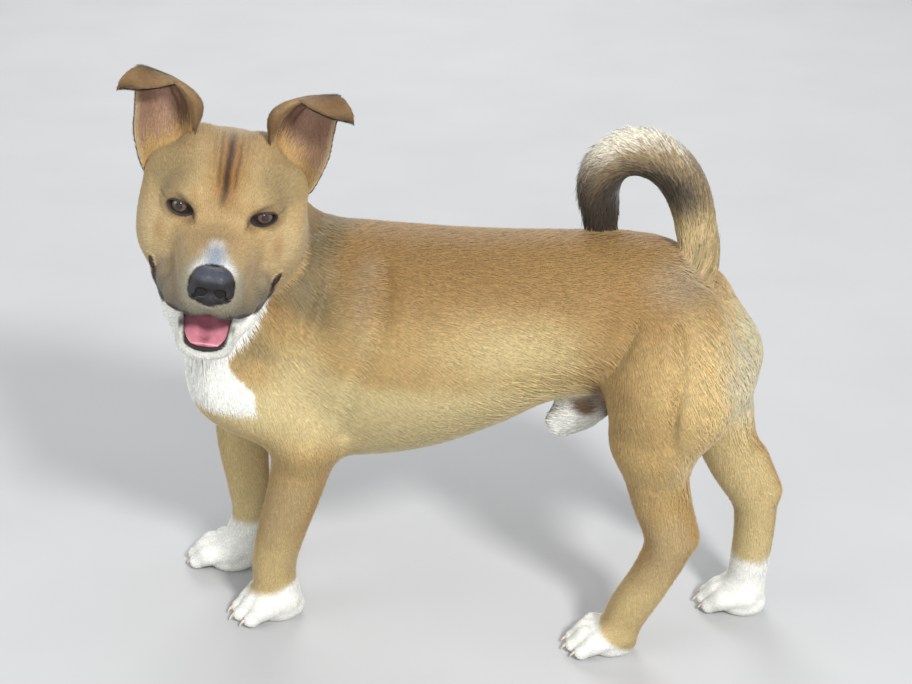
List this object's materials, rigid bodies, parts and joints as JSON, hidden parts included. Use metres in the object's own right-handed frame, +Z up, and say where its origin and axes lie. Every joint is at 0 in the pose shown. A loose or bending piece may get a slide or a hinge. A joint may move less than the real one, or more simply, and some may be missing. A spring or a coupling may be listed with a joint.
{
  "type": "dog",
  "caption": "Short-coated, short-legged tan and white dog standing with its head turned to the left, mouth open, ears folded at the tips and tail curled over the back.",
  "frame": {"origin": "middle of the dog's bounding box, on the floor that it stands on", "axes": "+Z up; the body lies along X and faces -X; +Y is the dog's right side. The head is turned to the dog's left, -Y."},
  "size_m": [0.5058, 0.284, 0.4836],
  "materials": {
    "tan_coat": "short smooth fur, reddish tan on the back and cream under the belly",
    "ear_coat": "very short brown fur, pinkish brown skin inside",
    "white_coat": "short white fur",
    "tail_coat": "longer grey-brown fur, pale along the outer edge and dark along the inner one",
    "nose": "moist slate-black skin",
    "tongue": "wet pink",
    "eye": "wet, dark hazel"
  },
  "bodies": {
    "root": {"head": "tan_coat", "ear_left": "ear_coat", "ear_right": "ear_coat", "lower_jaw": "tan_coat", "tongue": "tongue", "nose": "nose", "eye_left": "eye", "eye_right": "eye", "trunk": "tan_coat", "neck": "tan_coat", "sheath": "white_coat", "fore_leg_left": "tan_coat", "fore_paw_left": "white_coat", "fore_leg_right": "tan_coat", "fore_paw_right": "white_coat", "hind_leg_left": "tan_coat", "hind_paw_left": "white_coat", "hind_leg_right": "tan_coat", "hind_paw_right": "white_coat", "tail_base": "tan_coat", "tail_rise": "tail_coat", "tail_arch": "tail_coat", "tail_tip": "tail_coat"}
  },
  "joints": []
}
